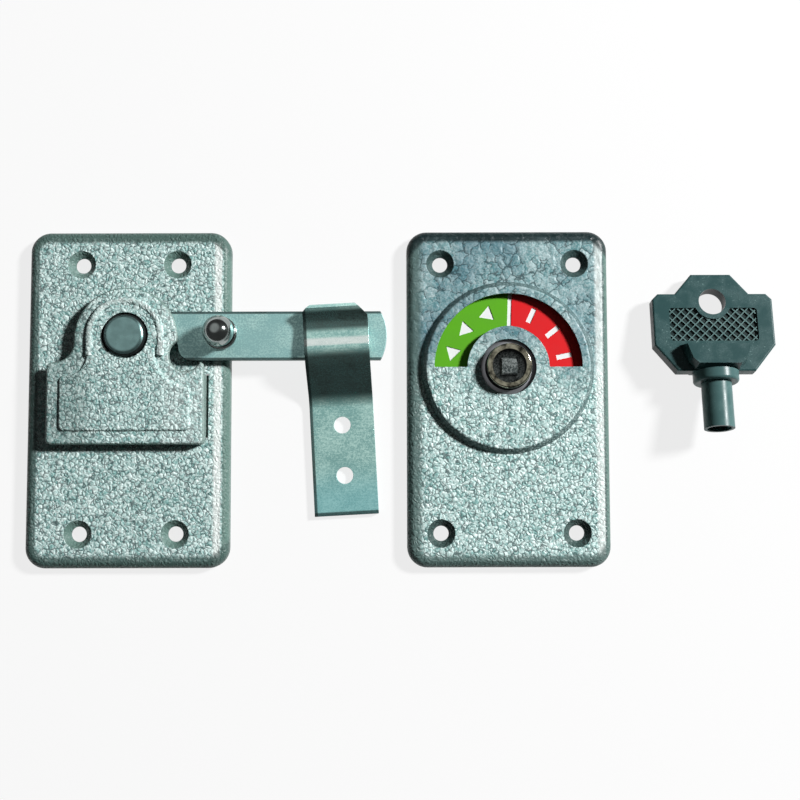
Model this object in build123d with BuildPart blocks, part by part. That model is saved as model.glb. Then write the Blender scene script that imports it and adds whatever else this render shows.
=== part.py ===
from build123d import *
import math
import os

os.makedirs("parts", exist_ok=True)

# Cubicle door latch kit, laid flat: inner unit with a swinging arm, keeper hook, outer unit with
# an indicator disc, and emergency key. Millimetres. The origin is on the surface that the kit lies
# on, under the centre of the whole kit. +X is towards the key, +Y up the plates, +Z off the surface.

# Sheet and general fits
plate_sheet = 1.2
cover_sheet = 1.0
seat_gap = 0.05
running_gap = 0.3
shaft_clearance = 0.05
rivet_clearance = 0.02
key_corner_clearance = 0.15

# Pressed plates, the same blank for both units
plate_width = 60.0
plate_length = 100.0
plate_height = 5.0
plate_corner = 6.0
plate_edge_radius = 2.5
screw_radius = 2.25
sink_radius = 4.2
sink_angle = 90
screw_land = 0.8
inner_screw_spacing_x = 28.5
outer_screw_spacing_x = 40.0
screw_spacing_y = 80.0

# Latch arm, measured from the pivot
pivot_y = 18.2
arm_reach = 76.6
arm_width = 14.4
arm_thickness = 2.5
tip_bulge = 1.8
hub_corner = 4.5
heel_reach = 15.3
heel_radius = 3.9
neck_drop = 2.0
neck_root_radius = 1.0

# Pivot stud
journal_radius = 5.5
drive_flat_cut = 1.0
head_lip = 0.8
head_height = 3.7
head_round = 1.8
bar_across_flats = 5.0
bar_clearance = 0.1
stud_foot = 0.8
socket_depth = 7.0
groove_depth = 0.8
thrust_washer_width = 4.0
thrust_washer_thickness = 0.45
retaining_washer_width = 3.0
retaining_washer_thickness = 0.8
retaining_ring_width = 2.5
retaining_ring_thickness = 0.75
retaining_ring_mouth = 7.0

# Ball knob on the arm
knob_reach = 27.8
knob_offset = 0.75
knob_radius = 4.55
knob_centre_height = 5.4
knob_foot_radius = 4.9
knob_foot_height = 1.2
knob_foot_round = 0.5
knob_neck_radius = 3.4
knob_rivet_radius = 2.0

# Latch cover, measured from the pivot
cover_half_width = 23.15
cover_bottom_drop = 32.0
cover_shoulder_drop = 7.8
cover_corner = 1.5
arch_radius = 15.3
arch_drop = 1.0
left_flare_radius = 6.0
heel_bite_x = 17.5
heel_bite_drop = 5.85
heel_bite_radius = 4.65
border_width = 4.0
field_rise = 0.8
field_edge_round = 0.7
cover_edge_round = 0.9
ridge_radius = 10.4
ridge_width = 2.2
ridge_height = 0.45
ridge_leg = 6.0
head_hole_clearance = 0.4
tab_top_drop = 11.2
tab_length = 18.6
tab_fold = 4.0
slot_end_clearance = 0.15
slot_side_gap = 0.7

# Detent spring and its posts
leaf_thickness = 0.5
leaf_half_span = 11.5
leaf_leg = 5.0
leaf_bend_radius = 1.2
post_radius = 1.5
post_tenon_radius = 1.0
post_rivet_radius = 1.8
post_rivet_height = 0.6

# Keeper hook, measured from where the arm crosses it
keeper_reach = 61.9
keeper_turn = 3.0
keeper_width = 19.0
keeper_thickness = 2.0
keeper_foot_drop = 52.9
keeper_first_hole_drop = 26.1
keeper_hole_spacing = 15.0
keeper_hole_radius = 2.5
hook_wall_run = 11.1
hook_crown_in = 1.0
hook_crown_rise = 2.9
hook_valley_in = 2.6
hook_valley_rise = 1.5
hook_lip_over = 1.2
hook_lip_rise = 4.3
hook_bend_radii = (8.0, 8.0, 6.0)
hook_left_clip = 2.2
hook_right_clip = 3.7

# Outer plate's boss and window, measured from the spindle axis
boss_y = 8.9
boss_flare = 1.5
boss_height = 2.5
boss_edge_round = 1.2
window_outer_lap = 0.7
window_inner_lap = 0.6
spindle_hole_gap = 1.6

# Spindle, disc and strap
tube_radius = 6.6
tube_wall = 1.6
tube_foot = 0.5
tube_protrusion = 3.5
tube_lip_round = 0.5
flange_width = 2.9
flange_thickness = 1.3
disc_seat_rim = 1.0
disc_seat_step = 0.1
disc_radius = 22.8
disc_clearance = 0.2
disc_thickness = 0.9
label_thickness = 0.2
label_inner_radius = 11.5
label_margin = 0.3
divider_width = 1.2
indicator_rest_turn = -2.0
mark_tall = 4.6
mark_wide = 1.5
mark_count = 6
mark_pitch = 27.0
washer_gap = 0.5
washer_room = 1.45
washer_sheet = 0.4
strap_width = 14.0
strap_thickness = 1.0
strap_landing = 4.3
strap_pad = 3.0
strap_joggle_run = 2.2
peg_base_height = 4.8
peg_recess = 1.7
peg_chamfer = 0.4
bar_socket_depth = 4.1

# Emergency key, measured from its ring hole
key_y = 27.9
bow_width = 35.6
bow_thickness = 4.6
bow_top_rise = 8.6
bow_top_width = 11.7
bow_shoulder_rise = 2.5
bow_shoulder_in = 6.8
bow_corner_clip = 1.75
bow_side_drop = 13.4
bow_bottom_drop = 21.4
bow_bottom_width = 22.8
bow_edge_round = 0.6
ring_hole_radius = 4.0
ring_boss_radius = 5.4
grip_width = 26.0
grip_top_drop = 2.0
grip_bottom_drop = 12.2
grip_depth = 0.9
grip_corner = 1.0
grip_rib_width = 0.35
grip_rib_height = 0.55
grip_rib_pitch = 1.9
block_top_drop = 13.2
block_bottom_drop = 19.3
block_top_width = 21.8
block_bottom_width = 17.6
block_draft = 10
collar_radius = 6.6
collar_length = 3.2
collar_round = 0.8
shank_clearance = 0.6
shank_end_drop = 38.3
key_socket_depth = 11.0
lead_in_radius = 3.5
lead_in_depth = 1.2

# Layout of the loose pieces on the surface
outer_gap = 5.9
key_gap = 12.9

kit_length = plate_width / 2 + arm_reach + outer_gap + plate_width + key_gap + bow_width
pivot_x = plate_width / 2 - kit_length / 2
keeper_x = pivot_x + keeper_reach
spindle_x = pivot_x + arm_reach + outer_gap + plate_width / 2
key_x = spindle_x + plate_width / 2 + key_gap + bow_width / 2

# Widths that follow the stud and the bar
drive_across_flats = 2 * (journal_radius - drive_flat_cut)
head_radius = journal_radius + head_lip
thrust_washer_radius = journal_radius + thrust_washer_width
retaining_washer_radius = journal_radius + retaining_washer_width
retaining_ring_radius = journal_radius + retaining_ring_width
socket_across_flats = bar_across_flats + 2 * bar_clearance

# Radii that follow the spindle tube and the disc
tube_bore_radius = tube_radius - tube_wall
shank_radius = tube_bore_radius - shank_clearance
flange_radius = tube_radius + flange_width
spindle_hole_radius = tube_radius + spindle_hole_gap
washer_inner_radius = tube_radius + running_gap
washer_outer_radius = label_inner_radius - washer_gap
label_outer_radius = disc_radius - label_margin
mark_radius = (label_inner_radius + label_outer_radius) / 2
window_outer_radius = label_outer_radius - window_outer_lap
window_inner_radius = label_inner_radius + window_inner_lap
boss_top_radius = disc_radius + disc_clearance + plate_sheet
boss_base_radius = boss_top_radius + boss_flare
strap_half_length = boss_base_radius + strap_landing

# Heights of the inner unit's stack
plate_ceiling = plate_height - plate_sheet
arm_bottom = plate_height + thrust_washer_thickness + seat_gap
arm_top = arm_bottom + arm_thickness
cover_underside = arm_top + running_gap
border_top = cover_underside + cover_sheet
field_top = border_top + field_rise
arm_half_width = arm_width / 2
knob_y = pivot_y + knob_offset
knob_z = arm_top + knob_centre_height
pivot_axis = Axis((pivot_x, pivot_y, 0), (0, 0, 1))

# Heights of the outer unit's stack
boss_top = plate_height + boss_height
boss_ceiling = boss_top - plate_sheet
disc_top = boss_ceiling - washer_room
disc_bottom = disc_top - disc_thickness
flange_top = disc_bottom - seat_gap
flange_bottom = flange_top - flange_thickness
strap_top = flange_bottom - seat_gap
tube_top = boss_top + tube_protrusion
spindle_axis = Axis((spindle_x, boss_y, 0), (0, 0, 1))


def press_plate(builder, centre_x, hole_spacing_x):
    """Presses the rimmed blank with its four dimpled screw holes into the builder's part."""
    with BuildSketch(Plane.XY) as blank:
        with Locations((centre_x, 0)):
            RectangleRounded(plate_width, plate_length, plate_corner)
    extrude(blank.sketch, amount=plate_height)
    fillet(builder.edges().group_by(Axis.Z)[-1], radius=plate_edge_radius)
    with BuildSketch(Plane.XY) as hollow:
        with Locations((centre_x, 0)):
            RectangleRounded(
                plate_width - 2 * plate_sheet,
                plate_length - 2 * plate_sheet,
                plate_corner - plate_sheet,
            )
    extrude(hollow.sketch, amount=plate_ceiling, mode=Mode.SUBTRACT)
    ceiling = builder.faces().sort_by(Axis.Z, reverse=True).filter_by(Axis.Z)[1]
    fillet(ceiling.edges(), radius=plate_edge_radius - plate_sheet)
    sink_depth = (sink_radius - screw_radius) / math.tan(math.radians(sink_angle / 2))
    dimple_bottom = plate_height - sink_depth - screw_land
    with BuildSketch(Plane.XY.offset(dimple_bottom)) as dimples:
        with Locations((centre_x, 0)):
            with GridLocations(hole_spacing_x, screw_spacing_y, 2, 2):
                Circle(sink_radius)
    extrude(dimples.sketch, amount=plate_ceiling - dimple_bottom)
    with Locations(Plane((centre_x, 0, plate_height))):
        with GridLocations(hole_spacing_x, screw_spacing_y, 2, 2):
            CounterSinkHole(screw_radius, sink_radius, counter_sink_angle=sink_angle)


def cover_blank(plane, inset=0.0):
    """Returns the plan outline of the cover, drawn in by inset, on the plane."""
    shoulder_y = pivot_y - cover_shoulder_drop - inset
    bottom_y = pivot_y - cover_bottom_drop + inset
    arch_y = pivot_y - arch_drop
    arch = arch_radius - inset
    with BuildSketch(plane) as blank:
        with Locations((pivot_x, (shoulder_y + bottom_y) / 2)):
            RectangleRounded(2 * (cover_half_width - inset), shoulder_y - bottom_y, cover_corner)
        with Locations((pivot_x, (arch_y + shoulder_y) / 2)):
            Rectangle(2 * arch, arch_y - shoulder_y)
        with Locations((pivot_x, arch_y)):
            Circle(arch)
        left_root = blank.vertices().sort_by_distance((pivot_x - arch, shoulder_y))[0]
        fillet(left_root, radius=left_flare_radius)
        with Locations((pivot_x + heel_bite_x, pivot_y - heel_bite_drop)):
            Circle(heel_bite_radius + inset, mode=Mode.SUBTRACT)
    return blank.sketch


def ridge_profile(side):
    """Returns the ridge's section beside the pivot, on the side given as -1 (left) or 1 (right)."""
    drop = (ridge_width ** 2 / 4 - ridge_height ** 2) / (2 * ridge_height)
    across = Plane((pivot_x, pivot_y, 0), x_dir=(side, 0, 0), z_dir=(0, -side, 0))
    with BuildSketch(across) as section:
        with Locations((ridge_radius, field_top - drop)):
            Circle(drop + ridge_height)
        with Locations((ridge_radius, field_top)):
            Rectangle(ridge_width, 2 * ridge_height, mode=Mode.INTERSECT)
    return section.sketch


def drive_section(clearance=0.0):
    """Returns the squared section of the stud, grown by clearance on every side."""
    with BuildSketch(mode=Mode.PRIVATE) as section:
        Circle(journal_radius + clearance)
        side = drive_across_flats + 2 * clearance
        Rectangle(side, side, mode=Mode.INTERSECT)
    return section.sketch


def disc_seat(clearance=0.0):
    """Returns the round seat of the disc with its two flats, grown by clearance on every side."""
    with BuildSketch(mode=Mode.PRIVATE) as section:
        Circle(tube_radius + disc_seat_rim + clearance)
        Rectangle(
            2 * (tube_radius + disc_seat_step + clearance),
            2 * (tube_radius + disc_seat_rim + clearance),
            mode=Mode.INTERSECT,
        )
    return section.sketch


def label_half(side):
    """Returns one half ring of the disc's face, on the side given as -1 (left) or 1 (right)."""
    with BuildSketch(label_plane) as half_ring:
        Circle(label_outer_radius)
        Circle(label_inner_radius, mode=Mode.SUBTRACT)
        with Locations((side * (label_outer_radius + divider_width) / 2, 0)):
            Rectangle(label_outer_radius, 2 * label_outer_radius, mode=Mode.INTERSECT)
    return half_ring.sketch


# Inner plate
with BuildPart() as inner_plate:
    press_plate(inner_plate, pivot_x, inner_screw_spacing_x)
    slot_width = cover_sheet + seat_gap + slot_side_gap
    slot_x = cover_half_width + slot_side_gap - slot_width / 2
    tab_y = pivot_y - tab_top_drop - tab_length / 2
    post_x = leaf_half_span - leaf_thickness / 2 - post_radius - running_gap
    post_y = pivot_y - arm_half_width - 2 * seat_gap - leaf_thickness - post_radius
    with BuildSketch(Plane.XY.offset(plate_height)):
        with Locations((pivot_x, pivot_y)):
            Circle(journal_radius + shaft_clearance)
        with Locations((pivot_x - slot_x, tab_y), (pivot_x + slot_x, tab_y)):
            Rectangle(slot_width, tab_length + 2 * slot_end_clearance)
        with Locations((pivot_x - post_x, post_y), (pivot_x + post_x, post_y)):
            Circle(post_tenon_radius + rivet_clearance)
    extrude(amount=-plate_sheet, mode=Mode.SUBTRACT)

# Latch cover
with BuildPart() as latch_cover:
    wall_bottom = plate_height + running_gap
    extrude(cover_blank(Plane.XY.offset(wall_bottom)), amount=border_top - wall_bottom)
    fillet(latch_cover.edges().group_by(Axis.Z)[-1], radius=cover_edge_round)
    room_plane = Plane.XY.offset(cover_underside)
    extrude(cover_blank(room_plane, border_width), amount=field_top - cover_underside)
    fillet(latch_cover.edges().group_by(Axis.Z)[-1], radius=field_edge_round)
    press_room = cover_blank(room_plane, border_width + cover_sheet)
    extrude(press_room, amount=field_rise, mode=Mode.SUBTRACT)
    # the room under the cover, open all round the arch and closed by the box's three walls
    room_bottom = pivot_y - cover_bottom_drop + cover_sheet
    wall_end = pivot_y - tab_top_drop
    with BuildSketch(Plane.XY.offset(wall_bottom)):
        with Locations((pivot_x, (room_bottom + wall_end) / 2)):
            Rectangle(2 * (cover_half_width - cover_sheet), wall_end - room_bottom)
        with Locations((pivot_x, wall_end + plate_length / 2)):
            Rectangle(2 * plate_width, plate_length)
    extrude(amount=cover_underside - wall_bottom, mode=Mode.SUBTRACT)
    # the ridge that runs round the arch and down both its flanks
    revolve(ridge_profile(1), axis=pivot_axis, revolution_arc=180)
    for side in (-1, 1):
        extrude(ridge_profile(side), amount=side * ridge_leg)
    # the tabs through the plate's slots, folded out behind the plate
    fold_top = plate_ceiling - seat_gap
    for side in (-1, 1):
        with BuildSketch(Plane.XY.offset(fold_top - cover_sheet)):
            with Locations((pivot_x + side * (cover_half_width - cover_sheet / 2), tab_y)):
                Rectangle(cover_sheet, tab_length)
        extrude(amount=cover_underside - fold_top + cover_sheet)
        with BuildSketch(Plane.XY.offset(fold_top - cover_sheet)):
            with Locations((pivot_x + side * (cover_half_width - cover_sheet + tab_fold / 2), tab_y)):
                Rectangle(tab_fold, tab_length)
        extrude(amount=cover_sheet)
    with BuildSketch(Plane.XY.offset(field_top)):
        with Locations((pivot_x, pivot_y)):
            Circle(head_radius + head_hole_clearance)
    extrude(amount=-(field_top - cover_underside), mode=Mode.SUBTRACT)

# Latch arm
with BuildPart() as latch_arm:
    with BuildSketch(Plane.XY.offset(arm_bottom)) as arm_outline:
        top_y = pivot_y + arm_half_width
        bottom_y = pivot_y - arm_half_width
        neck_y = pivot_y - neck_drop
        shoulder_x = pivot_x + arm_reach - tip_bulge
        heel_x = pivot_x + heel_reach
        with BuildLine():
            Line((pivot_x, top_y), (shoulder_x, top_y))
            ThreePointArc((shoulder_x, top_y), (pivot_x + arm_reach, pivot_y), (shoulder_x, bottom_y))
            Polyline(
                (shoulder_x, bottom_y),
                (heel_x, bottom_y),
                (heel_x, neck_y),
                (pivot_x, neck_y),
                (pivot_x, top_y),
            )
        make_face()
        with Locations((pivot_x, pivot_y)):
            RectangleRounded(arm_width, arm_width, hub_corner)
        fillet(arm_outline.vertices().sort_by_distance((heel_x, bottom_y))[0], radius=heel_radius)
        fillet(arm_outline.vertices().sort_by_distance((heel_x, neck_y))[0], radius=neck_root_radius)
        with Locations((pivot_x, pivot_y)):
            add(drive_section(seat_gap), mode=Mode.SUBTRACT)
        with Locations((pivot_x + knob_reach, knob_y)):
            Circle(knob_rivet_radius + rivet_clearance, mode=Mode.SUBTRACT)
    extrude(amount=arm_thickness)

# Ball knob, riveted flush under the arm
with BuildPart() as arm_knob:
    with BuildSketch(Plane.XY.offset(arm_top)):
        with Locations((pivot_x + knob_reach, knob_y)):
            Circle(knob_foot_radius)
    extrude(amount=knob_foot_height)
    fillet(arm_knob.edges().group_by(Axis.Z)[-1], radius=knob_foot_round)
    with BuildSketch(Plane.XY.offset(arm_top)):
        with Locations((pivot_x + knob_reach, knob_y)):
            Circle(knob_neck_radius)
    extrude(amount=knob_centre_height)
    with BuildSketch(Plane.XY.offset(arm_bottom)):
        with Locations((pivot_x + knob_reach, knob_y)):
            Circle(knob_rivet_radius)
    extrude(amount=arm_thickness)
    with Locations((pivot_x + knob_reach, knob_y, knob_z)):
        Sphere(knob_radius)

# Pivot stud
with BuildPart() as pivot_stud:
    with BuildSketch(Plane.XY.offset(stud_foot)):
        with Locations((pivot_x, pivot_y)):
            Circle(journal_radius)
    extrude(amount=arm_bottom - stud_foot)
    with BuildSketch(Plane.XY.offset(arm_bottom)):
        with Locations((pivot_x, pivot_y)):
            add(drive_section())
    extrude(amount=arm_thickness)
    with BuildSketch(Plane.XY.offset(arm_top)):
        with Locations((pivot_x, pivot_y)):
            Circle(head_radius)
    extrude(amount=head_height)
    fillet(pivot_stud.edges().group_by(Axis.Z)[-1], radius=head_round)
    washer_bottom = plate_ceiling - seat_gap - retaining_washer_thickness
    groove_top = washer_bottom
    groove_bottom = groove_top - retaining_ring_thickness - 2 * seat_gap
    with BuildSketch(Plane.XY.offset(groove_bottom)):
        with Locations((pivot_x, pivot_y)):
            Circle(journal_radius)
            Circle(journal_radius - groove_depth, mode=Mode.SUBTRACT)
    extrude(amount=groove_top - groove_bottom, mode=Mode.SUBTRACT)
    with BuildSketch(Plane.XY.offset(stud_foot)):
        with Locations((pivot_x, pivot_y)):
            Rectangle(socket_across_flats, socket_across_flats)
    extrude(amount=socket_depth, mode=Mode.SUBTRACT)

# Thrust washer under the hub
with BuildPart() as thrust_washer:
    with BuildSketch(Plane.XY.offset(plate_height)):
        with Locations((pivot_x, pivot_y)):
            Circle(thrust_washer_radius)
            Circle(journal_radius + 2 * shaft_clearance, mode=Mode.SUBTRACT)
    extrude(amount=thrust_washer_thickness)

# Retaining washer behind the plate
with BuildPart() as retaining_washer:
    with BuildSketch(Plane.XY.offset(washer_bottom)):
        with Locations((pivot_x, pivot_y)):
            Circle(retaining_washer_radius)
            Circle(journal_radius + 2 * shaft_clearance, mode=Mode.SUBTRACT)
    extrude(amount=retaining_washer_thickness)

# Retaining ring in the stud's groove, open at one side
with BuildPart() as retaining_ring:
    with BuildSketch(Plane.XY.offset(groove_bottom + seat_gap)):
        with Locations((pivot_x, pivot_y)):
            Circle(retaining_ring_radius)
            Circle(journal_radius - groove_depth + seat_gap, mode=Mode.SUBTRACT)
        with Locations((pivot_x, pivot_y - retaining_ring_radius / 2)):
            Rectangle(retaining_ring_mouth, retaining_ring_radius, mode=Mode.SUBTRACT)
    extrude(amount=retaining_ring_thickness)

# Detent leaf spring, standing on edge under the hub
with BuildPart() as detent_spring:
    leaf_y = pivot_y - arm_half_width - seat_gap - leaf_thickness / 2
    with BuildSketch(Plane.XY.offset(arm_bottom)):
        with BuildLine():
            FilletPolyline(
                (pivot_x - leaf_half_span, leaf_y - leaf_leg),
                (pivot_x - leaf_half_span, leaf_y),
                (pivot_x + leaf_half_span, leaf_y),
                (pivot_x + leaf_half_span, leaf_y - leaf_leg),
                radius=leaf_bend_radius,
            )
        trace(line_width=leaf_thickness)
    extrude(amount=arm_thickness)

# Two posts riveted in the plate, inside the corners of the leaf spring
with BuildPart() as spring_posts:
    post_spots = [(pivot_x - post_x, post_y), (pivot_x + post_x, post_y)]
    with BuildSketch(Plane.XY.offset(plate_height)):
        with Locations(*post_spots):
            Circle(post_radius)
    extrude(amount=arm_top - plate_height)
    with BuildSketch(Plane.XY.offset(plate_ceiling)):
        with Locations(*post_spots):
            Circle(post_tenon_radius)
    extrude(amount=plate_sheet)
    with BuildSketch(Plane.XY.offset(plate_ceiling - post_rivet_height)):
        with Locations(*post_spots):
            Circle(post_rivet_radius)
    extrude(amount=post_rivet_height)

# Keeper hook, turned a little on the surface
turn = math.radians(keeper_turn)
keeper_plane = Plane((keeper_x, pivot_y, 0), x_dir=(math.cos(turn), math.sin(turn), 0))
keeper_side = Plane(keeper_plane.origin, x_dir=keeper_plane.y_dir, z_dir=keeper_plane.x_dir)
with BuildPart() as keeper_hook:
    half_sheet = keeper_thickness / 2
    with BuildSketch(keeper_side):
        with BuildLine():
            FilletPolyline(
                (-keeper_foot_drop, half_sheet),
                (-arm_half_width - hook_wall_run, half_sheet),
                (-arm_half_width + hook_crown_in, arm_top + hook_crown_rise),
                (arm_half_width - hook_valley_in, arm_top + hook_valley_rise),
                (arm_half_width + hook_lip_over, arm_top + hook_lip_rise),
                radius=hook_bend_radii,
            )
        trace(line_width=keeper_thickness)
    extrude(amount=keeper_width / 2, both=True)
    lip = keeper_hook.vertices().sort_by(keeper_side.location.x_axis)[-1]
    lip_y = keeper_plane.to_local_coords(lip.center()).Y
    half_width = keeper_width / 2
    with BuildSketch(keeper_plane.offset(arm_top)):
        with BuildLine():
            Polyline(
                (-half_width, lip_y),
                (-half_width, lip_y - hook_left_clip),
                (-half_width + hook_left_clip, lip_y),
                close=True,
            )
        make_face()
        with BuildLine():
            Polyline(
                (half_width, lip_y),
                (half_width, lip_y - hook_right_clip),
                (half_width - hook_right_clip, lip_y),
                close=True,
            )
        make_face()
    extrude(amount=hook_lip_rise + keeper_thickness, mode=Mode.SUBTRACT)
    with BuildSketch(keeper_plane):
        hole_mid = -(keeper_first_hole_drop + keeper_hole_spacing / 2)
        with Locations((0, hole_mid)):
            with GridLocations(keeper_hole_spacing, keeper_hole_spacing, 1, 2):
                Circle(keeper_hole_radius)
    extrude(amount=keeper_thickness, mode=Mode.SUBTRACT)

# Outer plate with its boss and window
with BuildPart() as outer_plate:
    press_plate(outer_plate, spindle_x, outer_screw_spacing_x)
    with BuildSketch(Plane((spindle_x, boss_y, 0), x_dir=(1, 0, 0), z_dir=(0, -1, 0))):
        with BuildLine():
            Polyline(
                (0, plate_ceiling),
                (boss_base_radius, plate_ceiling),
                (boss_base_radius, plate_height),
                (boss_top_radius, boss_top),
                (0, boss_top),
                close=True,
            )
        make_face()
    revolve(axis=spindle_axis)
    fillet(outer_plate.edges().group_by(Axis.Z)[-1], radius=boss_edge_round)
    with BuildSketch(Plane((spindle_x, boss_y, 0), x_dir=(1, 0, 0), z_dir=(0, -1, 0))):
        with BuildLine():
            Polyline(
                (0, plate_ceiling),
                (boss_base_radius - plate_sheet, plate_ceiling),
                (boss_top_radius - plate_sheet, boss_ceiling),
                (0, boss_ceiling),
                close=True,
            )
        make_face()
    revolve(axis=spindle_axis, mode=Mode.SUBTRACT)
    with BuildSketch(Plane.XY.offset(boss_top)):
        with Locations((spindle_x, boss_y)):
            Circle(window_outer_radius)
            Circle(window_inner_radius, mode=Mode.SUBTRACT)
        with Locations((spindle_x, boss_y + window_outer_radius / 2)):
            Rectangle(2 * window_outer_radius, window_outer_radius, mode=Mode.INTERSECT)
        with Locations((spindle_x, boss_y)):
            Circle(spindle_hole_radius)
    extrude(amount=-plate_sheet, mode=Mode.SUBTRACT)

# Spindle tube with its flange and the flatted seat that carries the disc
with BuildPart() as spindle_tube:
    with BuildSketch(Plane.XY.offset(tube_foot)):
        with Locations((spindle_x, boss_y)):
            Circle(tube_radius)
    extrude(amount=tube_top - tube_foot)
    fillet(spindle_tube.edges().group_by(Axis.Z)[-1], radius=tube_lip_round)
    with BuildSketch(Plane.XY.offset(flange_bottom)):
        with Locations((spindle_x, boss_y)):
            Circle(flange_radius)
    extrude(amount=flange_thickness)
    with BuildSketch(Plane.XY.offset(flange_top)):
        with Locations((spindle_x, boss_y)):
            add(disc_seat())
    extrude(amount=disc_top - flange_top)
    with BuildSketch(Plane.XY.offset(tube_top)):
        with Locations((spindle_x, boss_y)):
            Circle(tube_bore_radius)
    extrude(amount=-(tube_top - tube_foot), mode=Mode.SUBTRACT)

# Drive peg pressed in the tube: square peg in front, square bar socket behind
with BuildPart() as drive_peg:
    with BuildSketch(Plane.XY.offset(tube_foot)):
        with Locations((spindle_x, boss_y)):
            Circle(tube_bore_radius - rivet_clearance)
    extrude(amount=peg_base_height)
    with BuildSketch(Plane.XY.offset(tube_foot + peg_base_height)):
        with Locations((spindle_x, boss_y)):
            Rectangle(bar_across_flats, bar_across_flats)
    extrude(amount=tube_top - peg_recess - tube_foot - peg_base_height)
    chamfer(drive_peg.edges().group_by(Axis.Z)[-1], length=peg_chamfer)
    with BuildSketch(Plane.XY.offset(tube_foot)):
        with Locations((spindle_x, boss_y)):
            Rectangle(socket_across_flats, socket_across_flats)
    extrude(amount=bar_socket_depth, mode=Mode.SUBTRACT)

# Indicator disc, keyed on the tube's seat
with BuildPart() as indicator_disc:
    with BuildSketch(Plane.XY.offset(disc_bottom)):
        with Locations((spindle_x, boss_y)):
            Circle(disc_radius)
            add(disc_seat(seat_gap), mode=Mode.SUBTRACT)
    extrude(amount=disc_thickness)

# The two coloured half rings of its face, with plain marks cut through to the white disc
rest = math.radians(indicator_rest_turn)
label_plane = Plane((spindle_x, boss_y, disc_top), x_dir=(math.cos(rest), math.sin(rest), 0))
mark_start = (180 - mark_pitch * (mark_count - 1)) / 2
with BuildPart() as green_label:
    extrude(label_half(-1), amount=label_thickness)
    with BuildSketch(label_plane):
        with PolarLocations(mark_radius, mark_count, 90 + mark_start, mark_pitch * mark_count):
            Triangle(a=mark_tall, b=mark_tall, c=mark_tall)
    extrude(amount=label_thickness, mode=Mode.SUBTRACT)

with BuildPart() as red_label:
    extrude(label_half(1), amount=label_thickness)
    with BuildSketch(label_plane):
        with PolarLocations(mark_radius, mark_count, mark_start - 90, mark_pitch * mark_count):
            Rectangle(mark_tall, mark_wide)
    extrude(amount=label_thickness, mode=Mode.SUBTRACT)

# Dished friction washer between the disc and the boss
with BuildPart() as friction_washer:
    high = boss_ceiling - seat_gap
    low = disc_top + seat_gap
    with BuildSketch(Plane((spindle_x, boss_y, 0), x_dir=(1, 0, 0), z_dir=(0, -1, 0))):
        with BuildLine():
            Polyline(
                (washer_inner_radius, high),
                (washer_inner_radius, high - washer_sheet),
                (washer_outer_radius, low),
                (washer_outer_radius, low + washer_sheet),
                close=True,
            )
        make_face()
    revolve(axis=spindle_axis)

# Rear strap, joggled down from the plate's underside to pass behind the disc
with BuildPart() as rear_strap:
    strap_side = Plane((spindle_x, boss_y, 0), x_dir=(0, 1, 0), z_dir=(1, 0, 0))
    pad_z = plate_ceiling - strap_thickness / 2
    bridge_z = strap_top - strap_thickness / 2
    pad_y = strap_half_length - strap_pad
    with BuildSketch(strap_side):
        with BuildLine():
            Polyline(
                (-strap_half_length, pad_z),
                (-pad_y, pad_z),
                (-pad_y + strap_joggle_run, bridge_z),
                (pad_y - strap_joggle_run, bridge_z),
                (pad_y, pad_z),
                (strap_half_length, pad_z),
            )
        trace(line_width=strap_thickness)
    extrude(amount=strap_width / 2, both=True)
    with BuildSketch(Plane.XY.offset(strap_top)):
        with Locations((spindle_x, boss_y)):
            Circle(tube_radius + shaft_clearance)
    extrude(amount=-strap_thickness, mode=Mode.SUBTRACT)

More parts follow.
